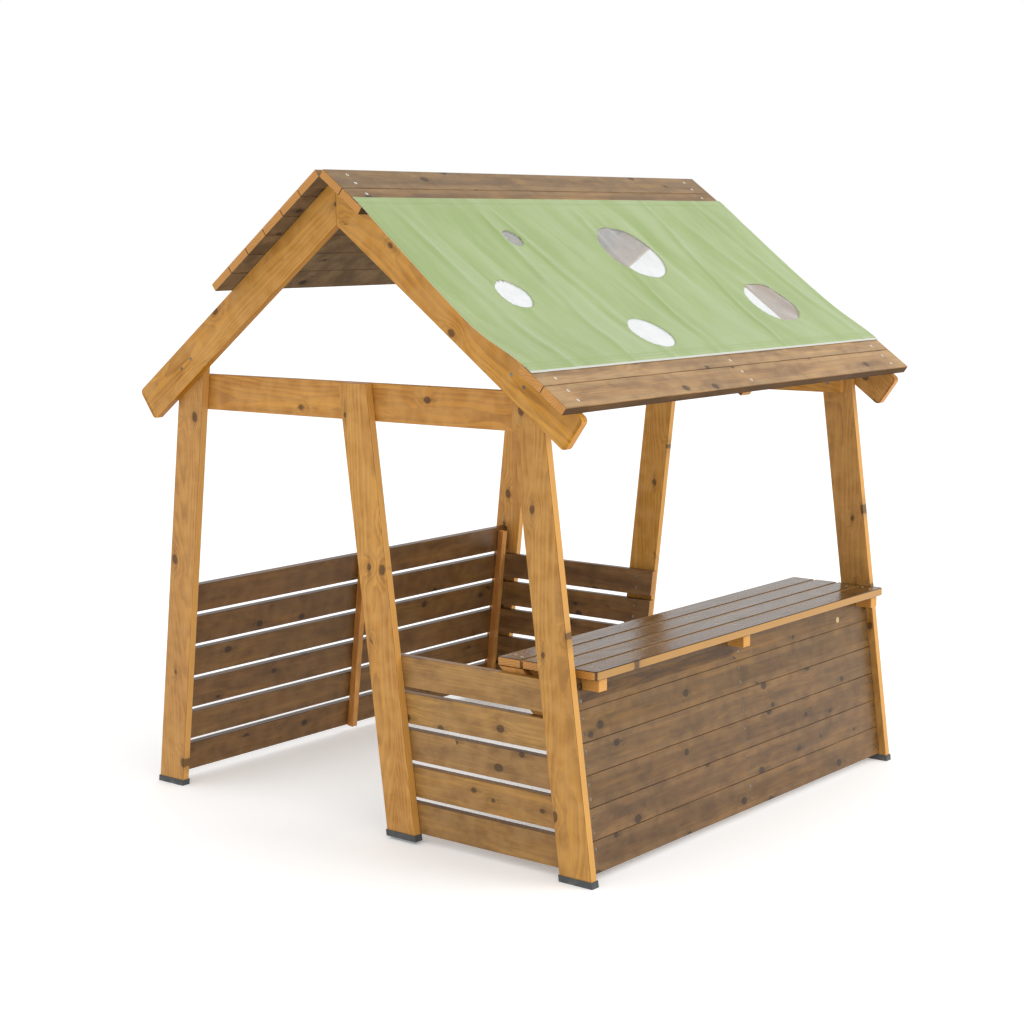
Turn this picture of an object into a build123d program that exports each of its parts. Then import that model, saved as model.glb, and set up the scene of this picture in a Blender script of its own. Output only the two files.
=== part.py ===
from build123d import *
import os
from math import cos, radians, sin, tan

# An open wooden playhouse: two leaning gable frames joined by a long back wall, a front wall
# with a serving counter, two half walls beside the doorways, and a saddle roof that is
# partly boarded and partly covered with a fabric panel.
# Millimetres. X runs along the ridge (the near gable is at -X), the counter faces -Y, Z is up
# and Z = 0 is the floor.

# Whole house
post_span = 1243.0          # outer face of the near posts to outer face of the far posts
foot_half = 661.0           # middle of the house to the outer edge of a corner post, at the floor
lean = 7.0                  # lean of the long walls and of every post, in degrees
pitch = 36.3                # roof pitch in degrees
ridge_height = 1454.0       # floor to the upper edges of the ridge boards

# Timber stock
board_t = 19.0              # thickness of every board, post, rafter and beam
frame_w = 82.0              # width of posts, rafters and tie beams
board_w = 68.0              # width of wall and roof boards
ease = 1.5                  # rounding of sawn edges

# Clearances
fit = 0.2                   # between two timber faces that touch
cap_fit = 0.2               # around a post in its foot cap
soft_gap = 0.3              # between fabric or film and what it lies on
head_fit = 0.3              # a screw head sits this far below the surface
shank_fit = 0.3             # between a screw's shank and its hole

# Frame
tie_top = 1000.0            # upper edge of the tie beams
tie_half = 526.0            # half of a tie beam's length
door_edge = 98.6            # middle of the house to the middle post's doorway edge, at the floor
middle_lift = 5.8           # the middle posts' caps hang this far above the floor
rafter_run = 818.0          # length of a rafter's upper edge
tail_round = 12.0           # rounding of a rafter's tail corners
post_top_gap = 2.0          # a post's top below the rafter's upper edge

# Foot caps
cap_height = 14.0
cap_wall = 1.5
cap_floor = 3.0

# Roof
verge = 48.9                # roof boards reach this far past the rafters' outer faces
roof_pitch_step = 69.0      # from one roof board to the next
rear_boards = 6
eave_start = 661.0          # upper edge of the first eave board, measured down the slope
cleat_from = -22.0          # the eave cleat's two sides, along X
cleat_to = 16.0
cleat_end = 787.0           # lower end of the cleat, measured down the slope

# Fabric panel on the front slope
fabric_start = 104.4        # upper hem, measured down the slope
fabric_end = 691.0          # lower hem
fabric_half = 690.0         # half of its width
fabric_t = 1.0
film_t = 0.5
film_lap = 6.0              # a window's film reaches this far past its hole
# Each row: distance down the slope, depth of the sag there.
sag_steps = ((250.0, 6.0), (380.0, 11.0), (500.0, 13.5), (560.0, 11.0), (620.0, 3.6))
# Each row: place along X, distance down the slope, diameter.
windows = (
    (-309.5, 250.7, 55.0),
    (-494.7, 442.8, 92.0),
    (68.9, 310.3, 190.0),
    (-180.1, 598.5, 106.0),
    (403.4, 523.6, 146.0),
)

# Long walls
front_recess = 17.0         # front wall's face behind the posts' outer edges
back_recess = 20.0          # back wall's face behind the posts' outer edges
front_boards = 6
back_boards = 6
front_step = 67.7           # from one front board to the next: the joints are closed
back_step = 80.4            # from one back board to the next: open joints
back_start = 25.5           # lower edge of the back wall, along its lean
batten_bottom = 16.5        # lower ends of the wall battens above the floor
batten_drop = 8.0           # battens end this far below the wall's upper edge
front_batten_mid = 13.5     # middle of the front wall's centre batten, along X
back_batten_mid = 1.5       # middle of the back wall's centre batten, along X

# Half walls
half_boards = 5
half_start = 20.0           # lower edge above the floor
half_step = 80.9            # from one board to the next
half_overhang = 9.0         # boards reach this far past the middle post's doorway edge

# Serving counter
counter_top = 440.0
counter_front = -645.0
counter_depth = 258.0
counter_slats = 4
slat_w = 61.0
slat_ease = 3.0
slat_corner = 11.0          # front slat's outer corners, in plan
cross_w = 28.0              # cross battens under the slats
cross_h = 27.0
cross_inset = 8.0           # from the counter's front and rear edges to the cross battens' ends
cross_mid = -10.2           # middle of the centre cross batten, along X
brace_w = 45.0              # braces at 45 degrees under the counter's ends

# Screws: one countersunk kind throughout
screw_length = 34.0
shank_r = 1.9
head_r = 3.9
head_rim = 0.3              # straight edge of a screw's head
seat_fit = 0.1              # between a screw's head and its countersink
drill_r = shank_r + shank_fit
sink_r = head_r + head_fit + head_rim + seat_fit
drill_depth = screw_length + 1.5
pair_half = 15.0            # half the distance between the two screws in a board

# Round plug in the front wall
plug_x = 460.0
plug_height = 375.0
plug_r = 7.0
plug_depth = 6.0

# Sizes that follow
half_span = post_span / 2
t_lean = tan(radians(lean))
t_pitch = tan(radians(pitch))
frame_level = frame_w / cos(radians(lean))              # a post's width, measured level
under_ridge = ridge_height - board_t * cos(radians(pitch))   # rafters' upper edges at the ridge
inner_face = board_t + fit                              # post's outer face to the next layer in
second_face = 2 * board_t + 2 * fit                     # and to the layer after that
counter_under = counter_top - board_t
counter_rear = counter_front + counter_depth
slat_step = (counter_depth - slat_w) / (counter_slats - 1)
cross_bottom = counter_under - fit - cross_h

os.makedirs("parts", exist_ok=True)


# Planes
def end_plane(side):
    """Outer face of a gable's posts: x runs to the half wall's side, y is up, z points out."""
    return Plane(origin=(side * half_span, 0, 0), x_dir=(0, side, 0), z_dir=(side, 0, 0))


def wall_plane(slope):
    """Leaning plane through the corner posts' outer edges: y climbs the wall, z points out."""
    out = (0, slope * cos(radians(lean)), sin(radians(lean)))
    return Plane(origin=(0, slope * foot_half, 0), x_dir=(-slope, 0, 0), z_dir=out)


def roof_plane(slope):
    """Plane of the rafters' upper edges: y climbs to the ridge, where it is 0."""
    out = (0, slope * sin(radians(pitch)), cos(radians(pitch)))
    return Plane(origin=(0, 0, under_ridge), x_dir=(-slope, 0, 0), z_dir=out)


def flipped(plane):
    """The same plane seen from behind, with y unchanged."""
    return Plane(origin=plane.origin, x_dir=-plane.x_dir, z_dir=-plane.z_dir)


def spots(plane, points):
    """Places on a plane, one for each point."""
    return [plane.location * Location((u, v, 0)) for u, v in points]


def pairs(centre, middle):
    """Two points, one above the other."""
    return [(centre, middle - pair_half), (centre, middle + pair_half)]


# Pieces
def keep(piece, name):
    """Labels a finished piece and writes it."""
    piece.part.label = name
    export_step(piece.part, f"parts/{name}.step")


def timber(name, plane, outline, heads=(), pilots=(), nose=0.0, rounding=ease):
    """A flat piece of timber: an outline on its lower face, drilled for its screws."""
    with BuildPart() as piece:
        with BuildSketch(plane) as face:
            with BuildLine():
                Polyline(*outline, close=True)
            make_face()
            if nose:
                fillet(face.vertices().sort_by(Axis.Y)[:2], nose)
        extrude(amount=board_t)
        fillet(piece.edges(), rounding)
        if heads:
            with Locations(*heads):
                CounterSinkHole(drill_r, sink_r, depth=drill_depth, counter_sink_angle=90)
        if pilots:
            with Locations(*pilots):
                Hole(drill_r, depth=drill_depth)
    keep(piece, name)


def rectangle(x_from, x_to, y_from, y_to):
    """Corners of a rectangle."""
    return [(x_from, y_from), (x_to, y_from), (x_to, y_to), (x_from, y_to)]


# Screw places, each list shared by the board it holds and the timber behind it
gables = {"near": -1, "far": 1}
walls = {"front": -1, "back": 1}
rafter_x = half_span + fit + board_t / 2
board_top = board_t + fit

roof_rows = {"front": [], "back": []}
for row in range(2):
    roof_rows["front"].append(row * roof_pitch_step + board_w / 2)
for row in range(2):
    roof_rows["front"].append(eave_start + row * roof_pitch_step + board_w / 2)
for row in range(rear_boards):
    roof_rows["back"].append(row * roof_pitch_step + board_w / 2)


def roof_screws(slope_name, row, local_x):
    """Places of a roof board's two screws over one rafter or cleat."""
    top = roof_plane(walls[slope_name]).offset(board_top)
    return spots(top, pairs(local_x, -roof_rows[slope_name][row]))


# Long walls, along each wall's own x from its half-wall end
start_batten = -half_span + second_face + board_t / 2
end_batten = half_span - inner_face - board_t / 2
mid_batten = {"front": front_batten_mid, "back": -back_batten_mid}
recess = {"front": front_recess, "back": back_recess}
wall_bottom = {}
wall_step = {"front": front_step, "back": back_step}
wall_count = {"front": front_boards, "back": back_boards}
wall_width = {"front": front_step - fit, "back": board_w}
front_top = (counter_under - fit + front_recess * sin(radians(lean))) / cos(radians(lean))
wall_bottom["front"] = front_top - front_boards * front_step + fit
wall_bottom["back"] = back_start


def wall_screws(wall, row, local_x):
    """Places of a wall board's two screws over one batten."""
    middle = wall_bottom[wall] + row * wall_step[wall] + wall_width[wall] / 2
    return spots(wall_plane(walls[wall]).offset(-recess[wall]), pairs(local_x, middle))


def half_screws(side, row, from_middle, from_corner):
    """Places of a half-wall board's screws, driven from inside into both posts."""
    middle = half_start + row * half_step + board_w / 2
    inside = flipped(end_plane(side).offset(-second_face))
    found = []
    for height in (middle - pair_half, middle + pair_half):
        if from_middle:
            found.append((-(door_edge + frame_level / 2 - height * t_lean), height))
        if from_corner:
            found.append((-(foot_half - 66.5 - height * t_lean), height))
    return spots(inside, found)


# The middle of the crossing of a rafter and a corner post
post_mid = foot_half - frame_level / 2
rafter_mid = under_ridge - frame_w / 2 / cos(radians(pitch))
cross_z = (rafter_mid - post_mid * t_pitch) / (1 - t_lean * t_pitch)
cross_u = post_mid - cross_z * t_lean
along = (20 * cos(radians(pitch)), 20 * sin(radians(pitch)))
tie_mid = tie_top - frame_w / 2
tie_screw_u = foot_half - frame_level / 2 - tie_mid * t_lean


def rafter_screws(side, hand):
    """Places of the two screws through a rafter into its corner post."""
    outside = end_plane(side).offset(fit + board_t)
    above = (hand * (cross_u - along[0]), cross_z + along[1])
    below = (hand * (cross_u + along[0]), cross_z - along[1])
    return spots(outside, [above, below])


def tie_screws(side, level_u):
    """Places of the two screws through a tie beam into a post."""
    inside = flipped(end_plane(side).offset(-second_face))
    return spots(inside, [(-level_u - 12, tie_mid - 18), (-level_u + 12, tie_mid + 18)])


middle_u = door_edge + frame_level / 2 - tie_mid * t_lean

screw_places = []

# Gable frames
for gable, side in gables.items():
    wall_of_hand = {1: "front" if side < 0 else "back", -1: "back" if side < 0 else "front"}
    for hand, wall in wall_of_hand.items():
        outer_top = (under_ridge - post_top_gap - foot_half * t_pitch) / (1 - t_lean * t_pitch)
        inner_foot = foot_half - frame_level
        inner_top = (under_ridge - post_top_gap - inner_foot * t_pitch) / (1 - t_lean * t_pitch)
        foot_z = cap_floor + fit
        outline = [
            (hand * (foot_half - foot_z * t_lean), foot_z),
            (hand * (foot_half - outer_top * t_lean), outer_top),
            (hand * (inner_foot - inner_top * t_lean), inner_top),
            (hand * (inner_foot - foot_z * t_lean), foot_z),
        ]
        pilots = rafter_screws(side, hand) + tie_screws(side, hand * tie_screw_u)
        if hand > 0:
            for row in range(half_boards):
                pilots += half_screws(side, row, False, True)
        post_face = end_plane(side).offset(-board_t)
        timber(f"{gable}_{wall}_post", post_face, outline, pilots=pilots)

        mitre = fit / 2
        tail_u = rafter_run * cos(radians(pitch))
        tail_z = under_ridge - rafter_run * sin(radians(pitch))
        low_u = tail_u - frame_w * sin(radians(pitch))
        low_z = tail_z - frame_w * cos(radians(pitch))
        outline = [
            (hand * mitre, under_ridge - mitre * t_pitch),
            (hand * tail_u, tail_z),
            (hand * low_u, low_z),
            (hand * mitre, low_z + (low_u - mitre) * t_pitch),
        ]
        board_pilots = []
        local_x = rafter_x * side * -walls[wall]
        for row in range(len(roof_rows[wall])):
            board_pilots += roof_screws(wall, row, local_x)
        rafter_face = end_plane(side).offset(fit)
        timber(
            f"{gable}_{wall}_rafter",
            rafter_face,
            outline,
            heads=rafter_screws(side, hand),
            pilots=board_pilots,
            nose=tail_round,
        )
        screw_places += rafter_screws(side, hand)

    middle_foot = middle_lift + cap_floor + fit
    outline = [
        (door_edge - middle_foot * t_lean, middle_foot),
        (door_edge + frame_level - middle_foot * t_lean, middle_foot),
        (door_edge + frame_level - tie_top * t_lean, tie_top),
        (door_edge - tie_top * t_lean, tie_top),
    ]
    pilots = tie_screws(side, middle_u)
    for row in range(half_boards):
        pilots += half_screws(side, row, True, False)
    timber(f"{gable}_middle_post", end_plane(side).offset(-board_t), outline, pilots=pilots)

    heads = []
    for level_u in (tie_screw_u, -tie_screw_u, middle_u):
        heads += tie_screws(side, level_u)
    tie_face = end_plane(side).offset(-second_face)
    tie_outline = rectangle(-tie_half, tie_half, tie_top - frame_w, tie_top)
    timber(f"{gable}_tie_beam", tie_face, tie_outline, heads=heads)
    screw_places += heads

    wall = wall_of_hand[1]
    wall_inside = foot_half - (recess[wall] + board_t + fit) / cos(radians(lean))
    for row in range(half_boards):
        low = half_start + row * half_step
        high = low + board_w
        outline = [
            (door_edge - half_overhang - low * t_lean, low),
            (wall_inside - low * t_lean, low),
            (wall_inside - high * t_lean, high),
            (door_edge - half_overhang - high * t_lean, high),
        ]
        heads = half_screws(side, row, True, True)
        timber(f"{gable}_half_wall_board_{row + 1}", tie_face, outline, heads=heads)
        screw_places += heads

# Foot caps: shallow cups under the six posts
cap_places = (
    # outer edge at the floor, inner edge at the floor, underside above the floor
    (foot_half, foot_half - frame_level, 0.0),
    (frame_level - foot_half, -foot_half, 0.0),
    (door_edge + frame_level, door_edge, middle_lift),
)
cup_gap = cap_fit + cap_wall
with BuildPart() as foot_caps:
    for side in gables.values():
        for outer, inner, lift in cap_places:
            lean_in = -t_lean if inner < 0 else t_lean
            for gap, floor_z, mode in ((cup_gap, 0.0, Mode.ADD), (cap_fit, cap_floor, Mode.SUBTRACT)):
                low = lift + floor_z
                high = lift + cap_height
                with BuildSketch(end_plane(side).offset(-board_t - gap)):
                    with BuildLine():
                        Polyline(
                            (outer + gap - low * lean_in, low),
                            (inner - gap - low * lean_in, low),
                            (inner - gap - high * lean_in, high),
                            (outer + gap - high * lean_in, high),
                            close=True,
                        )
                    make_face()
                extrude(amount=board_t + 2 * gap, mode=mode)
keep(foot_caps, "foot_caps")

# Long walls
batten_x = {}
for wall, slope in walls.items():
    batten_x[wall] = (start_batten, mid_batten[wall], end_batten)
    face = wall_plane(slope).offset(-recess[wall] - board_t)
    batten_pilots = []
    for row in range(wall_count[wall]):
        low = wall_bottom[wall] + row * wall_step[wall]
        high = low + wall_width[wall]
        left = -half_span + inner_face
        right = half_span - inner_face
        outline = rectangle(left, right, low, high)
        if wall == "front" and row == front_boards - 1:
            # The counter's cross battens pass through notches in the top board.
            sill = (cross_bottom - fit + recess[wall] * sin(radians(lean))) / cos(radians(lean))
            first = start_batten + board_t / 2 + fit
            last = end_batten - board_t / 2 - fit
            cuts = (
                (first - fit, first + cross_w + fit),
                (cross_mid - cross_w / 2 - fit, cross_mid + cross_w / 2 + fit),
                (last - cross_w - fit, last + fit),
            )
            outline = [(left, high), (left, low), (right, low), (right, high)]
            for cut_from, cut_to in reversed(cuts):
                outline += [(cut_to, high), (cut_to, sill), (cut_from, sill), (cut_from, high)]
        heads = []
        for local_x in batten_x[wall]:
            heads += wall_screws(wall, row, local_x)
        batten_pilots += heads
        if wall == "front" and row == front_boards - 1:
            top_outline = outline
            top_heads = heads
        else:
            timber(f"{wall}_wall_board_{row + 1}", face, outline, heads=heads)
    screw_places += batten_pilots

    top = wall_bottom[wall] + wall_step[wall] * (wall_count[wall] - 1) + wall_width[wall]
    batten_face = face.offset(-fit - board_t)
    shift = (recess[wall] + 2 * board_t + fit) * sin(radians(lean))
    low = (batten_bottom + shift) / cos(radians(lean))
    with BuildPart() as battens:
        for local_x in batten_x[wall]:
            with BuildSketch(batten_face):
                with BuildLine():
                    half = board_t / 2
                    corners = rectangle(local_x - half, local_x + half, low, top - batten_drop)
                    Polyline(*corners, close=True)
                make_face()
        extrude(amount=board_t)
        fillet(battens.edges(), ease)
        with Locations(*batten_pilots):
            Hole(drill_r, depth=drill_depth)
    keep(battens, f"{wall}_wall_battens")

# The front wall's top board also takes the round plug
plug_level = (plug_height + front_recess * sin(radians(lean))) / cos(radians(lean))
front_face = wall_plane(-1).offset(-front_recess)
with BuildPart() as top_board:
    with BuildSketch(front_face.offset(-board_t)):
        with BuildLine():
            Polyline(*top_outline, close=True)
        make_face()
    extrude(amount=board_t)
    fillet(top_board.edges(), 0.8)
    with Locations(*top_heads):
        CounterSinkHole(drill_r, sink_r, depth=drill_depth, counter_sink_angle=90)
    with Locations(*spots(front_face, [(plug_x, plug_level)])):
        Hole(plug_r + fit, depth=plug_depth + fit)
keep(top_board, f"front_wall_board_{front_boards}")

with BuildPart() as plug:
    with BuildSketch(front_face.offset(-plug_depth)):
        with Locations((plug_x, plug_level)):
            Circle(plug_r)
    extrude(amount=plug_depth + 0.5)
    rim = plug.edges().filter_by(GeomType.CIRCLE).sort_by(Axis.Y)[0]
    fillet(rim, 0.4)
keep(plug, "front_wall_plug")

# Roof boards
board_half = half_span + fit + board_t + verge
for wall, slope in walls.items():
    for row, middle in enumerate(roof_rows[wall]):
        heads = roof_screws(wall, row, rafter_x) + roof_screws(wall, row, -rafter_x)
        if middle > eave_start:
            heads += roof_screws(wall, row, (cleat_from + cleat_to) / 2)
        top = -middle + board_w / 2
        if row == 0:
            top -= fit / 2
        outline = rectangle(-board_half, board_half, -middle - board_w / 2, top)
        face = roof_plane(slope).offset(fit)
        timber(f"{wall}_roof_board_{row + 1}", face, outline, heads=heads)
        screw_places += heads

cleat_screws = []
for row in (2, 3):
    cleat_screws += roof_screws("front", row, (cleat_from + cleat_to) / 2)
cleat_outline = rectangle(cleat_from, cleat_to, -cleat_end, -eave_start - 2)
timber("eave_cleat", roof_plane(-1).offset(-board_t), cleat_outline, pilots=cleat_screws)

# Fabric panel and its clear windows: a closed sheet that dips between the boards
slope_end = Plane(
    origin=roof_plane(-1).from_local_coords(Vector(-fabric_half, 0, 0)),
    x_dir=roof_plane(-1).y_dir,
    z_dir=roof_plane(-1).x_dir,
)
upper_rest = roof_pitch_step + board_w + 1
lower_rest = eave_start - 1


def sheet_profile(level, thickness):
    """Closed outline of a thin sheet that lies on two boards and sags between them."""
    for height in (level, level + thickness):
        dips = [(-upper_rest, height)]
        for place, depth in sag_steps:
            dips.append((-place, height - depth))
        dips.append((-lower_rest, height))
        Spline(*dips)
        Line((-fabric_start, height), (-upper_rest, height))
        Line((-lower_rest, height), (-fabric_end, height))
    Line((-fabric_start, level), (-fabric_start, level + thickness))
    Line((-fabric_end, level), (-fabric_end, level + thickness))


fabric_level = board_top + soft_gap
with BuildPart() as fabric_panel:
    with BuildSketch(slope_end):
        with BuildLine():
            sheet_profile(fabric_level, fabric_t)
        make_face()
    extrude(amount=2 * fabric_half)
    with BuildSketch(roof_plane(-1)):
        for place, run, diameter in windows:
            with Locations((place, -run)):
                Circle(diameter / 2)
    extrude(amount=2 * board_top, mode=Mode.SUBTRACT)
keep(fabric_panel, "fabric_panel")

with BuildPart() as window_films:
    with BuildSketch(slope_end):
        with BuildLine():
            sheet_profile(fabric_level - soft_gap - film_t, film_t)
        make_face()
    extrude(amount=2 * fabric_half)
    with BuildSketch(roof_plane(-1)):
        for place, run, diameter in windows:
            with Locations((place, -run)):
                Circle(diameter / 2 + film_lap)
    extrude(amount=2 * board_top, mode=Mode.INTERSECT)
keep(window_films, "window_films")

# Serving counter
cross_x = (
    start_batten + board_t / 2 + fit + cross_w / 2,
    cross_mid,
    end_batten - board_t / 2 - fit - cross_w / 2,
)
counter_face = Plane.XY.offset(counter_top)
counter_from = -half_span + inner_face + board_t
counter_to = half_span - inner_face
slat_screws = []
for row in range(counter_slats):
    low = counter_front + row * slat_step
    middle = low + slat_w / 2
    heads = []
    for place in cross_x:
        heads += spots(counter_face, [(place - 7, middle - 14), (place + 7, middle + 14)])
    outline = rectangle(counter_from, counter_to, low, low + slat_w)
    nose = slat_corner if row == 0 else 0.0
    name = f"counter_slat_{row + 1}"
    timber(name, Plane.XY.offset(counter_under), outline, heads, (), nose, slat_ease)
    slat_screws += heads
screw_places += slat_screws

with BuildPart() as cross_battens:
    with BuildSketch(Plane.XY.offset(cross_bottom)):
        for place in cross_x:
            with Locations((place, counter_front + counter_depth / 2)):
                Rectangle(cross_w, counter_depth - 2 * cross_inset)
    extrude(amount=cross_h)
    fillet(cross_battens.edges(), ease)
    with Locations(*slat_screws):
        Hole(drill_r, depth=drill_depth)
keep(cross_battens, "counter_battens")

# Braces: each stands on a front wall batten and reaches the counter's rear edge
batten_inside = foot_half - (front_recess + 2 * board_t + 2 * fit) / cos(radians(lean))
rise = counter_under - fit - counter_rear + 2
lift = brace_w * 2 ** 0.5
brace_outline = []
for offset in (rise, rise + lift):
    level = (batten_inside - offset * t_lean) / (1 - t_lean)
    brace_outline.append((level, offset - level))
brace_top = counter_under - fit
brace_outline += [(rise + lift - brace_top, brace_top), (rise - brace_top, brace_top)]
with BuildPart() as braces:
    for place in (start_batten, end_batten):
        brace_face = Plane(origin=(place + board_t / 2, 0, 0), x_dir=(0, -1, 0), z_dir=(-1, 0, 0))
        with BuildSketch(brace_face):
            with BuildLine():
                Polyline(*brace_outline, close=True)
            make_face()
        extrude(amount=board_t)
    fillet(braces.edges(), ease)
keep(braces, "counter_braces")

# Screws
with BuildPart() as screw:
    with BuildSketch(Plane.XZ):
        with BuildLine():
            Polyline(
                (0, -head_fit),
                (head_r, -head_fit),
                (head_r, -head_fit - head_rim),
                (shank_r, -head_fit - head_rim - head_r + shank_r),
                (shank_r, -screw_length + 4),
                (0, -screw_length),
                close=True,
            )
        make_face()
    revolve(axis=Axis.Z)
    for turn in (0, 90):
        with BuildSketch(Plane.XY.offset(-head_fit)):
            Rectangle(4.2, 0.9, rotation=turn)
        extrude(amount=-1.4, mode=Mode.SUBTRACT)

with BuildPart() as screws:
    with Locations(*screw_places):
        add(screw.part)
keep(screws, "screws")
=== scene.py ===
import math
import random

import bpy
from mathutils import Matrix, Vector, noise


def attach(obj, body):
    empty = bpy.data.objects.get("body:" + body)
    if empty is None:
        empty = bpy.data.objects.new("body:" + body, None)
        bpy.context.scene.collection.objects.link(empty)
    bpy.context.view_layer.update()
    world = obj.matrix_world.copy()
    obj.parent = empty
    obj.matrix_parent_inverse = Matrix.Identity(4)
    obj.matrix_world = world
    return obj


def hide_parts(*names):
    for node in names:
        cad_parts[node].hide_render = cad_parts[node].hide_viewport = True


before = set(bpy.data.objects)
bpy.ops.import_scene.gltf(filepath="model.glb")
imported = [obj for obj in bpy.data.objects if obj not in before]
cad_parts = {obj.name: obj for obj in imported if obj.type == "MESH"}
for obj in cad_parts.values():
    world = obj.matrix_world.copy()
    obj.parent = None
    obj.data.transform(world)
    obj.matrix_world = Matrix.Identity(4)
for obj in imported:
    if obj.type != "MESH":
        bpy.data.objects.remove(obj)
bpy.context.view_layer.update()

# The house in metres: X along the ridge, the counter towards -Y, Z up from the floor.
LEAN = math.radians(7.0)
PITCH = math.radians(36.3)
UNDER_RIDGE = 1.4387        # rafters' upper edges, where they meet
BOARD_TOP = 0.0192          # face of the roof boards above the rafters
COS, SIN = math.cos(PITCH), math.sin(PITCH)

ALONG_X = (1, 0, 0)
ALONG_Y = (0, 1, 0)
ALONG_Z = (0, 0, 1)
FRONT_LEAN = (0, math.sin(LEAN), math.cos(LEAN))
BACK_LEAN = (0, -math.sin(LEAN), math.cos(LEAN))
FRONT_FALL = (0, -COS, -SIN)
BACK_FALL = (0, COS, -SIN)
BRACE_RISE = (0, 0.7071, 0.7071)


# ---------------------------------------------------------------- node helpers
def new_group(name, inputs, outputs):
    """A shader node group with named sockets. Each input is (name, kind, start value)."""
    tree = bpy.data.node_groups.new(name, "ShaderNodeTree")
    for label, kind, value in inputs:
        made = tree.interface.new_socket(
            name=label, in_out="INPUT", socket_type="NodeSocket" + kind
        )
        if value is not None:
            made.default_value = value
    for label, kind in outputs:
        tree.interface.new_socket(
            name=label, in_out="OUTPUT", socket_type="NodeSocket" + kind
        )
    return Wiring(tree, tree.nodes.new("NodeGroupInput"), tree.nodes.new("NodeGroupOutput"))


# The Mix node's colour sockets share their names with its other kinds, so they go by number.
MIX_A, MIX_B, MIX_RESULT = 6, 7, 2


class Wiring:
    """Makes and joins the nodes of one tree."""

    def __init__(self, tree, given=None, result=None):
        self.tree = tree
        self.given = given
        self.result = result

    def node(self, kind, **settings):
        made = self.tree.nodes.new("ShaderNode" + kind)
        for key, value in settings.items():
            setattr(made, key, value)
        return made

    def feed(self, socket, value):
        if isinstance(value, bpy.types.NodeSocket):
            self.tree.links.new(value, socket)
        elif value is not None:
            socket.default_value = value

    def calc(self, operation, a, b=None, c=None, clamp=False):
        made = self.node("Math", operation=operation, use_clamp=clamp)
        for socket, value in zip(made.inputs, (a, b, c)):
            self.feed(socket, value)
        return made.outputs[0]

    def times(self, a, b):
        return self.calc("MULTIPLY", a, b)

    def plus(self, a, b):
        return self.calc("ADD", a, b)

    def minus(self, a, b, clamp=False):
        return self.calc("SUBTRACT", a, b, clamp=clamp)

    def vector(self, operation, a, b=None, scale=None):
        made = self.node("VectorMath", operation=operation)
        self.feed(made.inputs[0], a)
        self.feed(made.inputs[1], b)
        if scale is not None:
            self.feed(made.inputs["Scale"], scale)
        return made.outputs["Value" if operation == "DOT_PRODUCT" else "Vector"]

    def join(self, x, y, z):
        made = self.node("CombineXYZ")
        for socket, value in zip(made.inputs, (x, y, z)):
            self.feed(socket, value)
        return made.outputs[0]

    def split(self, vector):
        made = self.node("SeparateXYZ")
        self.feed(made.inputs[0], vector)
        return made.outputs

    def noise(self, vector, scale, detail=2.0, rough=0.5, distortion=0.0):
        made = self.node("TexNoise")
        self.feed(made.inputs["Vector"], vector)
        made.inputs["Scale"].default_value = scale
        made.inputs["Detail"].default_value = detail
        made.inputs["Roughness"].default_value = rough
        made.inputs["Distortion"].default_value = distortion
        return made.outputs["Fac"]

    def step(self, value, low, high, out_low=0.0, out_high=1.0):
        made = self.node("MapRange", interpolation_type="SMOOTHSTEP")
        self.feed(made.inputs["Value"], value)
        self.feed(made.inputs["From Min"], low)
        self.feed(made.inputs["From Max"], high)
        made.inputs["To Min"].default_value = out_low
        made.inputs["To Max"].default_value = out_high
        return made.outputs["Result"]

    def mix(self, factor, a, b):
        made = self.node("Mix", data_type="RGBA")
        self.feed(made.inputs["Factor"], factor)
        self.feed(made.inputs[MIX_A], a)
        self.feed(made.inputs[MIX_B], b)
        return made.outputs[MIX_RESULT]

    def deliver(self, **values):
        """Joins a group's results to its outputs."""
        for label, value in values.items():
            self.feed(self.result.inputs[label], value)

    def place(self, group, **values):
        made = self.node("Group")
        made.node_tree = group
        for label, value in values.items():
            self.feed(made.inputs[label.replace("_", " ")], value)
        return made.outputs


def finish_material(name):
    """A fresh material: its wiring and its Principled shader."""
    material = bpy.data.materials.new(name)
    material.use_nodes = True
    wiring = Wiring(material.node_tree)
    return material, wiring, material.node_tree.nodes["Principled BSDF"]


def bump(wiring, shader, height, strength, distance):
    made = wiring.node("Bump")
    made.inputs["Strength"].default_value = strength
    made.inputs["Distance"].default_value = distance
    wiring.feed(made.inputs["Height"], height)
    wiring.feed(shader.inputs["Normal"], made.outputs["Normal"])


def rgb(red, green, blue):
    """An 8-bit colour as the shader's linear one."""
    tones = []
    for value in (red, green, blue):
        value /= 255
        tones.append(value / 12.92 if value <= 0.04045 else ((value + 0.055) / 1.055) ** 2.4)
    return (*tones, 1.0)


# ---------------------------------------------------------------- shared effects
KNOTS_ALONG, KNOTS_ACROSS, KNOTS_THROUGH = 6.2, 11.0, 4.0      # knot cells per metre
KNOT_STRETCH = 1.35                                            # knots are longer along the grain
BELL = 2.718                                                   # base of the bell curves


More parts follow.
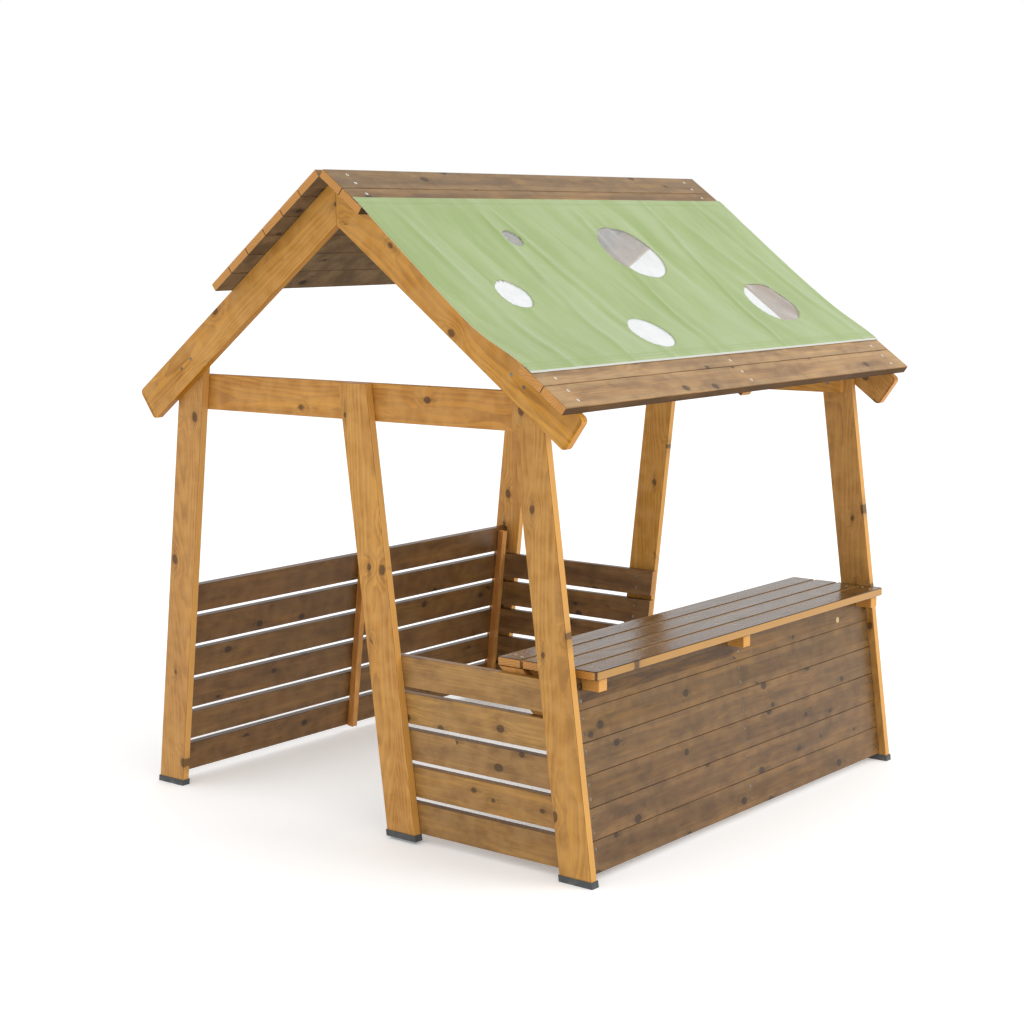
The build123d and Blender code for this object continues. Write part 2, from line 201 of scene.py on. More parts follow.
def make_grain_group():
    """Softwood figure: growth rings that flow round knots, fibres and slow changes of tone."""
    w = new_group(
        "softwood_figure",
        (
            ("Position", "Vector", None),
            ("Along", "Vector", (1, 0, 0)),
            ("Across", "Vector", (0, 1, 0)),
            ("Piece", "Float", 0.0),
            ("Ring Width", "Float", 0.005),
            ("Knot Share", "Float", 0.55),
        ),
        (
            ("Rings", "Float"),
            ("Fibre", "Float"),
            ("Tone", "Float"),
            ("Blotch", "Float"),
            ("Knot", "Float"),
            ("Smear", "Float"),
            ("Height", "Float"),
        ),
    )
    given = w.given.outputs
    position, piece = given["Position"], given["Piece"]
    through = w.vector("CROSS_PRODUCT", given["Along"], given["Across"])
    x = w.vector("DOT_PRODUCT", position, given["Along"])
    y = w.vector("DOT_PRODUCT", position, given["Across"])
    z = w.vector("DOT_PRODUCT", position, through)
    x = w.plus(x, w.times(piece, 37.3))
    y_far = w.plus(y, w.times(piece, 11.7))
    z_far = w.plus(z, w.times(piece, 5.9))

    # Knots: one feature point in each long cell, some of them left out.
    cell = w.join(
        w.times(x, KNOTS_ALONG), w.times(y_far, KNOTS_ACROSS), w.times(z_far, KNOTS_THROUGH)
    )
    spots = w.node("TexVoronoi", feature="F1")
    w.feed(spots.inputs["Vector"], cell)
    spots.inputs["Scale"].default_value = 1.0
    apart = w.split(w.vector("SUBTRACT", cell, spots.outputs["Position"]))
    chance = w.split(spots.outputs["Color"])
    wobble = w.noise(w.join(x, y_far, z_far), 90.0, 2.0)
    dx = w.calc("DIVIDE", apart[0], KNOTS_ALONG * KNOT_STRETCH)
    dy = w.calc("DIVIDE", apart[1], KNOTS_ACROSS)
    reach = w.calc("SQRT", w.plus(w.calc("POWER", dx, 2.0), w.calc("POWER", dy, 2.0)))
    reach = w.times(reach, w.plus(0.8, w.times(wobble, 0.4)))
    present = w.calc("LESS_THAN", chance[0], given["Knot Share"])
    size = w.plus(0.0038, w.times(chance[1], 0.0046))
    near = w.calc("DIVIDE", reach, size)
    knot = w.times(w.step(near, 1.15, 0.95), present)
    rim = w.times(w.step(near, 1.6, 1.0), present)
    # Dark wood trails off along the grain on both sides of a knot.
    trail = w.plus(
        w.calc("POWER", w.calc("DIVIDE", dx, 0.021), 2.0),
        w.calc("POWER", w.calc("DIVIDE", dy, 0.0062), 2.0),
    )
    trail = w.times(w.calc("POWER", BELL, w.times(trail, -1.0)), present)
    ragged = w.noise(w.join(w.times(x, 30.0), w.times(y_far, 260.0), z_far), 1.0, 3.0)
    trail = w.times(trail, w.step(ragged, 0.25, 0.6))
    smear = w.calc("MAXIMUM", w.times(rim, 0.8), trail)
    halo = w.calc("POWER", w.times(near, 0.30), 2.0)
    halo = w.times(w.calc("POWER", BELL, w.times(halo, -1.0)), present)

    # Growth rings: distance from a pith that wanders along the board.
    long_view = w.join(w.times(x, 1.1), w.times(piece, 91.0), 0.0)
    drift = w.noise(long_view, 1.0, 2.0)
    aside = w.noise(w.vector("ADD", long_view, (7.1, 3.3, 0)), 1.3, 2.0)
    aside = w.times(w.minus(aside, 0.5), 0.035)
    depth = w.plus(0.012, w.times(drift, 0.075))
    slow = w.noise(w.join(w.times(x, 4.0), w.times(y_far, 22.0), w.times(z_far, 22.0)), 1.0, 3.0)
    slow = w.times(w.minus(slow, 0.5), 0.010)
    side = w.plus(w.plus(w.calc("MODULO", y_far, 0.13), -0.05), aside)
    deep = w.plus(w.calc("MODULO", z_far, 0.11), depth)
    radius = w.calc("SQRT", w.plus(w.calc("POWER", side, 2.0), w.calc("POWER", deep, 2.0)))
    radius = w.plus(w.plus(radius, slow), w.times(halo, 0.011))
    turn = w.calc("FRACT", w.calc("DIVIDE", radius, given["Ring Width"]))
    rings = w.times(w.step(turn, 0.25, 0.86), w.step(turn, 1.0, 0.93))

    fibre_view = w.join(w.times(x, 9.0), w.times(y_far, 520.0), w.times(z_far, 520.0))
    fibre = w.noise(fibre_view, 1.0, 3.0, 0.6)
    streak_view = w.join(w.times(x, 2.2), w.times(y_far, 95.0), w.times(z_far, 95.0))
    streak = w.noise(streak_view, 1.0, 3.0, 0.65)
    tone = w.noise(w.join(w.times(x, 2.4), w.times(y_far, 14.0), w.times(z_far, 14.0)), 1.0, 2.0)
    tone = w.plus(w.times(tone, 0.45), w.times(streak, 0.55))
    blotch_view = w.join(w.times(x, 7.0), w.times(y_far, 30.0), w.times(z_far, 30.0))
    blotch = w.step(w.noise(blotch_view, 1.0, 4.0, 0.62, 0.4), 0.36, 0.64)
    height = w.plus(w.times(rings, 0.35), w.times(fibre, 0.5))
    height = w.minus(height, w.times(rim, 0.25))
    w.deliver(
        Rings=rings, Fibre=fibre, Tone=tone, Blotch=blotch, Knot=knot, Smear=smear, Height=height
    )
    return w.tree


def make_wear_group():
    """Lighter arrises and faint handling marks."""
    w = new_group(
        "edge_wear",
        (("Position", "Vector", None), ("Amount", "Float", 0.5)),
        (("Mask", "Float"), ("Marks", "Float")),
    )
    bent = w.node("NewGeometry").outputs["Pointiness"]
    patch = w.noise(w.given.outputs["Position"], 26.0, 3.0)
    edge = w.times(w.step(bent, 0.515, 0.56), w.step(patch, 0.3, 0.7, 0.45, 1.0))
    marks = w.step(w.noise(w.given.outputs["Position"], 61.0, 4.0, 0.7), 0.58, 0.78)
    w.deliver(Mask=w.times(edge, w.given.outputs["Amount"]), Marks=marks)
    return w.tree


def make_weave_group():
    """Plain weave of a coated cloth, laid along two directions."""
    w = new_group(
        "plain_weave",
        (
            ("Position", "Vector", None),
            ("Warp", "Vector", (1, 0, 0)),
            ("Weft", "Vector", (0, 1, 0)),
            ("Thread", "Float", 0.0009),
        ),
        (("Threads", "Float"), ("Slub", "Float"), ("Soil", "Float")),
    )
    given = w.given.outputs
    a = w.calc("DIVIDE", w.vector("DOT_PRODUCT", given["Position"], given["Warp"]), given["Thread"])
    b = w.calc("DIVIDE", w.vector("DOT_PRODUCT", given["Position"], given["Weft"]), given["Thread"])
    over = w.calc("SINE", w.times(a, math.pi))
    under = w.calc("SINE", w.times(b, math.pi))
    half_a = w.calc("SINE", w.times(a, math.pi / 2))
    half_b = w.calc("SINE", w.times(b, math.pi / 2))
    cross = w.times(half_a, half_b)
    threads = w.plus(w.calc("ABSOLUTE", over), w.calc("ABSOLUTE", under))
    threads = w.plus(threads, w.times(cross, 0.5))
    slub = w.noise(w.join(w.times(a, 0.02), w.times(b, 0.4), 0.0), 1.0, 3.0)
    soil = w.noise(given["Position"], 5.0, 4.0, 0.6)
    w.deliver(Threads=threads, Slub=slub, Soil=soil)
    return w.tree


def make_crease_group():
    """Soft press creases of a stretched cloth, running down its fall: masks for the ridges' bump, a
    painted highlight on the ridges and painted shade in the valleys.
    """
    w = new_group(
        "soft_creases",
        (("Position", "Vector", None), ("Fall", "Vector", (0, -1, 0))),
        (("Ridge", "Float"), ("Valley", "Float")),
    )
    given = w.given.outputs
    down = w.vector("DOT_PRODUCT", given["Position"], given["Fall"])
    x = w.split(given["Position"])[0]
    bend = w.times(w.noise(w.join(w.times(x, 2.0), w.times(down, 2.4), 0.0), 1.0, 2.0), 0.16)
    aside = w.plus(w.minus(x, w.times(down, 0.16)), bend)
    broad = w.noise(w.join(w.times(aside, 11.0), w.times(down, 2.0), 3.0), 1.0, 3.0, 0.55)
    sharp = w.noise(w.join(w.times(aside, 30.0), w.times(down, 2.6), 8.0), 1.0, 2.0, 0.5)
    narrow = w.minus(1.0, w.times(w.calc("ABSOLUTE", w.minus(sharp, 0.5)), 22.0), clamp=True)
    narrow = w.times(narrow, w.step(broad, 0.45, 0.6))
    ridge = w.calc("MAXIMUM", w.times(w.step(broad, 0.46, 0.64), 0.8), narrow)
    w.deliver(Ridge=ridge, Valley=w.step(broad, 0.50, 0.34))
    return w.tree


def make_crease_shading_group():
    """One long crease: masks for a painted highlight on its ridge and painted shade in the trough
    beside it.
    """
    w = new_group(
        "long_crease_shading",
        (
            ("X", "Float", 0.0),
            ("Down", "Float", 0.0),
            ("Start", "Float", 0.0),
            ("Slant", "Float", 0.0),
            ("Width", "Float", 0.01),
        ),
        (("Ridge", "Float"), ("Valley", "Float")),
    )
    given = w.given.outputs
    x, down = given["X"], given["Down"]
    sway = w.noise(w.join(w.times(down, 7.0), w.times(given["Start"], 31.0), 0.0), 1.0, 2.0)
    line = w.plus(given["Start"], w.times(given["Slant"], w.minus(down, 0.1)))
    line = w.plus(line, w.times(w.minus(sway, 0.5), 0.012))
    aside = w.calc("DIVIDE", w.minus(x, line), given["Width"])
    fade = w.step(w.noise(w.join(w.times(x, 3.0), w.times(down, 6.0), 5.0), 1.0, 2.0), 0.34, 0.56)
    ridge = w.minus(1.0, w.times(w.calc("ABSOLUTE", aside), 1.9), clamp=True)
    valley = w.minus(1.0, w.times(w.calc("ABSOLUTE", w.plus(aside, 1.9)), 0.55), clamp=True)
    w.deliver(Ridge=w.times(ridge, fade), Valley=w.times(valley, fade))
    return w.tree


grain_group = make_grain_group()
wear_group = make_wear_group()
weave_group = make_weave_group()
crease_group = make_crease_group()
crease_shading_group = make_crease_shading_group()

# Stain colours: pale wood, mid wood, late-wood lines, knots, worn arris
STAINS = {
    "frame": ((200, 142, 52), (164, 106, 29), (112, 65, 17), (44, 23, 10), (212, 162, 92)),
    # The batten stain is the frame stain made brighter: painted light for battens that stand in the
    # house's shade.
    "batten": ((222, 156, 54), (188, 120, 32), (134, 78, 20), (50, 27, 12), (226, 172, 96)),
    "wall": ((136, 96, 42), (88, 59, 23), (58, 36, 14), (28, 16, 9), (146, 112, 70)),
    "half": ((182, 136, 62), (134, 93, 36), (88, 55, 20), (40, 23, 11), (182, 142, 88)),
    "roof": ((152, 114, 64), (110, 80, 42), (72, 48, 25), (36, 22, 12), (158, 130, 92)),
    "eave": ((184, 142, 88), (140, 104, 60), (94, 64, 34), (44, 28, 16), (190, 160, 116)),
    "counter": ((106, 73, 31), (78, 51, 19), (50, 32, 14), (28, 17, 10), (146, 112, 72)),
    # This stain, for the boards within the house, is partly their darker wood and partly painted
    # shade.
    "shaded_inside": ((134, 94, 42), (92, 60, 24), (60, 37, 15), (30, 17, 9), (142, 106, 66)),
    "plug": ((214, 190, 150), (196, 168, 126), (164, 130, 88), (120, 84, 50), (226, 208, 176)),
}
END_WOOD, END_RING = rgb(206, 146, 72), rgb(158, 98, 42)
LIT_WOOD = rgb(228, 172, 92)


def stained_timber(
    name, stain, along, across, rough, knots, ring, lines, blotches, shine, lit=0.0, under=0.0
):
    """Stained softwood whose figure runs along one direction.

    Knots, lines and blotches say how strong each mark is, ring how wide the growth rings are.
    Lit lightens the faces that look across the grain, a painted highlight; under darkens those that
    look down, a painted shade.
    """
    pale, mid, line, dark, worn = (rgb(*tone) for tone in STAINS[stain])
    material, w, shader = finish_material(name)
    place = w.node("TexCoord").outputs["Object"]
    normal = w.node("TexCoord").outputs["Normal"]
    piece = w.node("ObjectInfo").outputs["Random"]
    figure = w.place(
        grain_group,
        Position=place,
        Along=along,
        Across=across,
        Piece=piece,
        Ring_Width=ring,
        Knot_Share=knots,
    )
    wear = w.place(wear_group, Position=place, Amount=0.5)
    colour = w.mix(w.step(figure["Tone"], 0.32, 0.70), mid, pale)
    colour = w.mix(w.times(figure["Blotch"], blotches), colour, line)
    late = w.times(figure["Rings"], w.step(figure["Fibre"], 0.15, 0.75, 0.5, 0.95))
    colour = w.mix(w.times(late, lines), colour, line)
    colour = w.mix(w.times(w.step(figure["Fibre"], 0.56, 0.36), 0.28), colour, line)
    # Every piece was stained on its own, so pieces differ a little.
    tint = w.node("HueSaturation")
    w.feed(tint.inputs["Color"], colour)
    for label, seed, low, spread in (
        ("Value", 7.7, 0.90, 0.24),
        ("Saturation", 3.1, 0.94, 0.12),
        ("Hue", 5.3, 0.496, 0.008),
    ):
        chance = w.calc("FRACT", w.times(piece, seed))
        w.feed(tint.inputs[label], w.plus(low, w.times(chance, spread)))
    colour = tint.outputs["Color"]
    # Sawn ends drink more stain and show their rings.
    end = w.step(w.calc("ABSOLUTE", w.vector("DOT_PRODUCT", normal, along)), 0.75, 0.95)
    end_colour = w.mix(w.times(figure["Rings"], 0.4), END_WOOD, END_RING)
    colour = w.mix(w.times(end, 0.8), colour, end_colour)
    # Painted highlight: faces that look across the grain are lightened towards LIT_WOOD.
    if lit:
        narrow = w.step(w.calc("ABSOLUTE", w.vector("DOT_PRODUCT", normal, across)), 0.8, 0.95)
        colour = w.mix(w.times(narrow, lit), colour, LIT_WOOD)
    painted_shade_below = None
    # Painted shade: faces that look down are darkened towards the knot colour.
    if under:
        painted_shade_below = w.step(w.split(normal)[2], -0.3, -0.6)
        colour = w.mix(w.times(painted_shade_below, under), colour, dark)
    colour = w.mix(wear["Mask"], colour, worn)
    side = w.minus(1.0, end)
    colour = w.mix(w.times(w.times(figure["Smear"], 0.46), side), colour, dark)
    colour = w.mix(w.times(w.times(figure["Knot"], 0.60), side), colour, dark)
    w.feed(shader.inputs["Base Color"], colour)
    shader.inputs["Specular IOR Level"].default_value = shine
    matt = w.plus(rough, w.times(w.minus(figure["Tone"], 0.5), 0.25))
    matt = w.plus(matt, w.times(figure["Rings"], -0.05))
    matt = w.plus(matt, w.times(w.plus(wear["Mask"], w.times(wear["Marks"], 0.3)), 0.15))
    if painted_shade_below is not None:
        matt = w.plus(matt, w.times(painted_shade_below, 0.45))
    w.feed(shader.inputs["Roughness"], matt)
    bump(w, shader, figure["Height"], 0.5, 0.0006)
    return material


def dress(node, material):
    """Gives a CAD node its finished material."""
    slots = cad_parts[node].data.materials
    slots.clear()
    slots.append(material)


def dress_timber():
    """A material for each direction of grain and each stain."""
    made = {}

    def finish(node, stain, way, along, across, **more):
        key = f"{stain}_{way}"
        if key not in made:
            made[key] = stained_timber(key, stain, along, across, **more)
        dress(node, made[key])

    beam = {"lines": 0.66, "blotches": 0.16, "ring": 0.0042, "shine": 0.25}
    board = {"lines": 0.38, "blotches": 0.72, "ring": 0.0058, "shine": 0.3}
    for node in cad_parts:
        front = "front" in node
        lean = FRONT_LEAN if front else BACK_LEAN
        side = "front" if front else "back"
        if node.endswith("_post"):
            if "middle" in node:
                lean = FRONT_LEAN if node.startswith("near") else BACK_LEAN
                side = "front" if node.startswith("near") else "back"
            way = f"post_{side}"
            finish(node, "frame", way, lean, ALONG_Y, rough=0.42, knots=0.65, lit=0.6, **beam)
        elif node.endswith("_rafter"):
            fall = FRONT_FALL if front else BACK_FALL
            across = (0, -fall[2], fall[1])
            finish(node, "frame", f"rafter_{side}", fall, across, rough=0.42, knots=0.6, **beam)
        elif node.endswith("_tie_beam"):
            finish(node, "frame", "tie", ALONG_Y, ALONG_Z, rough=0.42, knots=0.6, **beam)
        elif "half_wall_board" in node:
            stain = "shaded_inside" if node.startswith("far") else "half"
            finish(node, stain, "half", ALONG_Y, ALONG_Z, rough=0.42, knots=0.55, **board)
        elif "wall_board" in node:
            stain = "wall" if front else "shaded_inside"
            finish(node, stain, f"board_{side}", ALONG_X, lean, rough=0.32, knots=0.62, **board)
        elif node.endswith("wall_battens"):
            finish(node, "batten", f"batten_{side}", lean, ALONG_X, rough=0.5, knots=0.2, **beam)
        elif "roof_board" in node:
            fall = FRONT_FALL if front else BACK_FALL
            stain = "eave" if node in ("front_roof_board_3", "front_roof_board_4") else "roof"
            # Roof boards: a painted highlight on their narrow faces and painted shade on the faces
            # that look down.
            more = {"rough": 0.42, "knots": 0.6, "lit": 0.15, "under": 0.78, **board}
            finish(node, stain, f"board_{side}", ALONG_X, fall, **more)
        elif node == "eave_cleat":
            finish(node, "roof", "cleat", FRONT_FALL, ALONG_X, rough=0.5, knots=0.2, **board)
        elif node.startswith("counter_slat"):
            more = {"rough": 0.20, "knots": 0.4, "lit": 0.5, **board}
            finish(node, "counter", "slat", ALONG_X, ALONG_Y, **more)
        elif node == "counter_battens":
            finish(node, "batten", "cross_batten", ALONG_Y, ALONG_X, rough=0.5, knots=0.2, **beam)
        elif node == "counter_braces":
            finish(node, "batten", "brace", BRACE_RISE, ALONG_X, rough=0.5, knots=0.2, **beam)
        elif node == "front_wall_plug":
            finish(node, "plug", "plug", ALONG_X, FRONT_LEAN, rough=0.5, knots=0.0, **beam)


def dress_small_parts():
    """Screws and foot caps."""
    material, w, shader = finish_material("zinc_plated_steel")
    place = w.node("TexCoord").outputs["Object"]
    fine = w.noise(place, 900.0, 3.0)
    cloud = w.noise(place, 120.0, 2.0)
    tone = w.mix(w.step(cloud, 0.35, 0.65), rgb(150, 142, 126), rgb(112, 102, 86))
    # Painted highlight: heads that look up are mixed towards near white.
    upward_highlight = w.step(w.split(w.node("TexCoord").outputs["Normal"])[2], 0.3, 0.7)
    w.feed(shader.inputs["Base Color"], w.mix(upward_highlight, tone, rgb(236, 232, 224)))
    w.feed(shader.inputs["Roughness"], w.plus(0.36, w.times(fine, 0.22)))
    shader.inputs["Metallic"].default_value = 0.9
    bump(w, shader, fine, 0.2, 0.0002)
    dress("screws", material)

    material, w, shader = finish_material("moulded_rubber")
    place = w.node("TexCoord").outputs["Object"]
    leather = w.node("TexVoronoi", feature="SMOOTH_F1")
    w.feed(leather.inputs["Vector"], place)
    leather.inputs["Scale"].default_value = 700.0
    dust = w.noise(place, 40.0, 4.0)
    low = w.step(w.split(place)[2], 0.012, 0.0)
    soiled = w.times(w.step(dust, 0.4, 0.7), w.plus(0.25, w.times(low, 0.5)))
    w.feed(shader.inputs["Base Color"], w.mix(soiled, rgb(66, 70, 72), rgb(118, 114, 106)))
    w.feed(shader.inputs["Roughness"], w.plus(0.55, w.times(dust, 0.25)))
    wear = w.place(wear_group, Position=place, Amount=0.5)
    bump(w, shader, w.plus(leather.outputs["Distance"], wear["Marks"]), 0.25, 0.0004)
    dress("foot_caps", material)


dress_timber()
dress_small_parts()

# ---------------------------------------------------------------- fabric panel
# Measured down the front slope from the ridge, and along X.
FABRIC_TOP, FABRIC_LOW = 0.1044, 0.691
FABRIC_HALF = 0.6895
UPPER_EDGE, LOWER_EDGE = 0.139, 0.660       # edges of the boards it hangs between
CLOTH = 0.0010
HEM = 0.022
SEAMS = (FABRIC_TOP + HEM - 0.0035, FABRIC_LOW - HEM + 0.0035, FABRIC_LOW - HEM - 0.006)
FILM_LAP = 0.0095           # how far a film reaches behind the cloth
# The sag: distance down the slope, depth.
DIPS = (
    (UPPER_EDGE, 0.0),
    (0.250, 0.0060),
    (0.380, 0.0110),
    (0.500, 0.0135),
    (0.560, 0.0110),
    (0.620, 0.0036),
    (LOWER_EDGE, 0.0),
)
# Round openings: middle along X, middle down the slope, radius.
WINDOWS = (
    (-0.2995, 0.2443, 0.0273),
    (-0.4729, 0.4290, 0.0458),
    (0.0852, 0.3014, 0.0932),
    (-0.1667, 0.5918, 0.0566),
    (0.4319, 0.5122, 0.0749),
)
# Long creases down the panel: start along X, slant, half width.
CREASES = (
    (-0.322, -0.012, 0.0105),
    (0.030, -0.058, 0.0115),
    (0.345, -0.124, 0.0095),
    (-0.283, 0.172, 0.0100),
    (0.561, 0.140, 0.0130),
    (-0.600, 0.110, 0.0110),
)
folds_rng = random.Random(11)
FOLDS = []
for number in range(34):
    sharp = number % 3 == 0
    widths = (0.005, 0.009) if sharp else (0.012, 0.036)
    heights = (0.0008, 0.0016) if sharp else (0.0014, 0.0036)
    FOLDS.append(
        (
            folds_rng.uniform(-0.80, 0.68),        # where it starts along X
            folds_rng.uniform(-0.06, 0.34),        # how far it moves along X as it goes down
            folds_rng.uniform(*widths),            # half width
            folds_rng.choice((-1, 1)) * folds_rng.uniform(*heights),
            folds_rng.uniform(0.15, 0.60),         # middle, down the slope
            folds_rng.uniform(0.12, 0.34),         # reach, down the slope
        )
    )


def on_slope(x, down, out):
    """A point of the front slope, out above the rafters' upper edges."""
    return Vector((x, -down * COS - out * SIN, UNDER_RIDGE - down * SIN + out * COS))


def smooth(value, low, high):
    t = min(1.0, max(0.0, (value - low) / (high - low)))
    return t * t * (3 - 2 * t)


def dip(x, down):
    """Depth of the cloth's sag, a little less towards the far gable."""
    return sag(down) * (1 - 0.36 * smooth(x, 0.20, 0.70))


def sag(down):
    """Depth of the sag at the near gable: a smooth curve through DIPS."""
    if down <= UPPER_EDGE or down >= LOWER_EDGE:
        return 0.0
    for index in range(len(DIPS) - 1):
        if DIPS[index][0] <= down <= DIPS[index + 1][0]:
            break
    p0 = DIPS[max(index - 1, 0)]
    p1, p2 = DIPS[index], DIPS[index + 1]
    p3 = DIPS[min(index + 2, len(DIPS) - 1)]
    t = (down - p1[0]) / (p2[0] - p1[0])
    m1 = (p2[1] - p0[1]) / (p2[0] - p0[0]) * (p2[0] - p1[0])
    m2 = (p3[1] - p1[1]) / (p3[0] - p1[0]) * (p2[0] - p1[0])
    t2, t3 = t * t, t * t * t
    start = (2 * t3 - 3 * t2 + 1) * p1[1] + (t3 - 2 * t2 + t) * m1
    return start + (3 * t2 - 2 * t3) * p2[1] + (t3 - t2) * m2


def lie(x, down):
    """Height of the cloth's middle above the rafters' upper edges."""
    free = smooth(down, UPPER_EDGE, UPPER_EDGE + 0.05)
    free *= smooth(-down, -LOWER_EDGE, -LOWER_EDGE + 0.05)
    lowest = BOARD_TOP + 0.0003 + CLOTH / 2
    height = lowest - dip(x, down)
    fold = 0.0
    for start, slant, width, rise, middle, reach in FOLDS:
        aside = (x - start - slant * (down - 0.1)) / width
        if abs(aside) < 3:
            fold += rise * math.exp(-aside * aside) * math.exp(-(((down - middle) / reach) ** 2))
    for start, slant, width in CREASES:
        aside = (x - start - slant * (down - 0.1)) / width
        if abs(aside) < 4:
            fold += 0.0018 * math.exp(-aside * aside) - 0.0012 * math.exp(-((aside + 1.6) ** 2))
    fold += 0.0016 * noise.noise(Vector((x * 4.0 - down * 2.0, down * 3.0, 4.7)))
    fold += 0.0005 * noise.noise(Vector((x * 15.0 - down * 5.0, down * 9.0, 1.3)))
    for wx, wdown, wr in WINDOWS:
        far = math.hypot(x - wx, down - wdown)
        if far < wr + 0.05:
            turn = math.atan2(down - wdown, x - wx)
            pucker = math.sin(turn * round(wr * 420) + wr * 90)
            fold += 0.0007 * pucker * math.exp(-((far - wr - 0.008) / 0.011) ** 2)
            fold += 0.0005 * smooth(-far, -wr - 0.012, -wr - 0.004)
    height += fold * (0.12 + 0.88 * free)
    edge = min(down - FABRIC_TOP, FABRIC_LOW - down)
    height += 0.0008 * smooth(-edge, -HEM, -HEM + 0.002)
    side = FABRIC_HALF - abs(x)
    height += 0.0006 * smooth(-side, -0.014, -0.012)
    return max(height, lowest) if free < 0.02 else height


def edge_lines(low, high, step, hem):
    """Grid lines from low to high, closer together at both hems."""
    close = [0.0, 0.0015, 0.006, hem - 0.0045, hem - 0.0022, hem, hem + 0.0015, hem + 0.006]
    inner_low, inner_high = low + close[-1], high - close[-1]
    count = round((inner_high - inner_low) / step)
    lines = [low + value for value in close[:-1]]
    lines += [inner_low + (inner_high - inner_low) * index / count for index in range(count + 1)]
    lines += [high - value for value in reversed(close[:-1])]
    return lines


def mesh_object(name, verts, faces, smooth_faces=True):
    mesh = bpy.data.meshes.new(name)
    mesh.from_pydata(verts, [], faces)
    mesh.update()
    if smooth_faces:
        mesh.shade_smooth()
    made = bpy.data.objects.new(name, mesh)
    bpy.context.scene.collection.objects.link(made)
    return made


def apply_modifiers(made):
    """Bakes an object's modifiers into its mesh."""
    graph = bpy.context.evaluated_depsgraph_get()
    baked = bpy.data.meshes.new_from_object(made.evaluated_get(graph))
    made.modifiers.clear()
    made.data = baked


def make_cloth():
    """The panel: one sheet with turned hems and five round openings."""
    step = 0.0052
    xs = edge_lines(-FABRIC_HALF, FABRIC_HALF, step, 0.013)
    downs = edge_lines(FABRIC_TOP, FABRIC_LOW, step, HEM)
    flat = [(x, down) for down in downs for x in xs]
    columns = len(xs)
    faces = []
    for row in range(len(downs) - 1):
        for column in range(columns - 1):
            first = row * columns + column
            faces.append((first, first + 1, first + columns + 1, first + columns))
    kept = []
    for face in faces:
        cx = sum(flat[v][0] for v in face) / 4
        cd = sum(flat[v][1] for v in face) / 4
        if all(math.hypot(cx - wx, cd - wd) > wr for wx, wd, wr in WINDOWS):
            kept.append(face)
    sides = {}
    for face in kept:
        for index in range(4):
            key = tuple(sorted((face[index], face[(index + 1) % 4])))
            sides[key] = sides.get(key, 0) + 1
    rim = {v for key, count in sides.items() if count == 1 for v in key}
    for v in rim:
        x, down = flat[v]
        for wx, wd, wr in WINDOWS:
            far = math.hypot(x - wx, down - wd)
            if far < wr + 2 * step:
                flat[v] = (wx + (x - wx) / far * wr, wd + (down - wd) / far * wr)
    used = sorted({v for face in kept for v in face})
    number = {v: index for index, v in enumerate(used)}
    verts = [on_slope(flat[v][0], flat[v][1], lie(*flat[v]) + CLOTH / 2) for v in used]
    faces = [tuple(number[v] for v in reversed(face)) for face in kept]
    made = mesh_object("fabric_cover", verts, faces)
    thick = made.modifiers.new("thickness", "SOLIDIFY")
    thick.thickness = CLOTH
    thick.offset = -1
    thick.use_rim = True
    apply_modifiers(made)
    made.data.shade_smooth()
    return made


def stitch_mesh(name, places):
    """Short raised stitches: each place is (x, down, direction) on the cloth."""
    verts, faces = [], []
    sides, rings = 6, ((-0.5, 0.25), (-0.38, 0.85), (0.0, 1.0), (0.38, 0.85), (0.5, 0.25))
    for x, down, turn in places:
        base = len(verts)
        ux, ud = math.cos(turn), math.sin(turn)
        for t, girth in rings:
            for side in range(sides):
                angle = 2 * math.pi * side / sides
                aside = math.cos(angle) * 0.00042 * girth
                lift = math.sin(angle) * 0.00034 * girth + 0.00012 * (1 - 4 * t * t)
                px = x + ux * t * 0.0031 - ud * aside
                pd = down + ud * t * 0.0031 + ux * aside
                verts.append(on_slope(px, pd, lie(x, down) + CLOTH / 2 + lift))
        for ring in range(len(rings) - 1):
            for side in range(sides):
                a = base + ring * sides + side
                b = base + ring * sides + (side + 1) % sides
                faces.append((a, b, b + sides, a + sides))
        faces.append(tuple(base + side for side in reversed(range(sides))))
        last = base + (len(rings) - 1) * sides
        faces.append(tuple(last + side for side in range(sides)))
    return mesh_object(name, verts, faces)


def seam_places():
    """Where the stitches are: both hems, the side hems and a ring round each opening."""
    places = []
    pitch = 0.0044
    for down in SEAMS:
        count = int(2 * (FABRIC_HALF - 0.004) / pitch)
        for index in range(count):
            places.append((-FABRIC_HALF + 0.004 + (index + 0.5) * pitch, down, 0.0))
    for x in (-FABRIC_HALF + 0.0105, FABRIC_HALF - 0.0105):
        count = int((FABRIC_LOW - FABRIC_TOP - 0.008) / pitch)
        for index in range(count):
            places.append((x, FABRIC_TOP + 0.004 + (index + 0.5) * pitch, math.pi / 2))
    for wx, wd, wr in WINDOWS:
        ring = wr + 0.0045
        count = round(2 * math.pi * ring / pitch)
        for index in range(count):
            turn = 2 * math.pi * index / count
            x, down = wx + ring * math.cos(turn), wd + ring * math.sin(turn)
            places.append((x, down, turn + math.pi / 2))
    return places


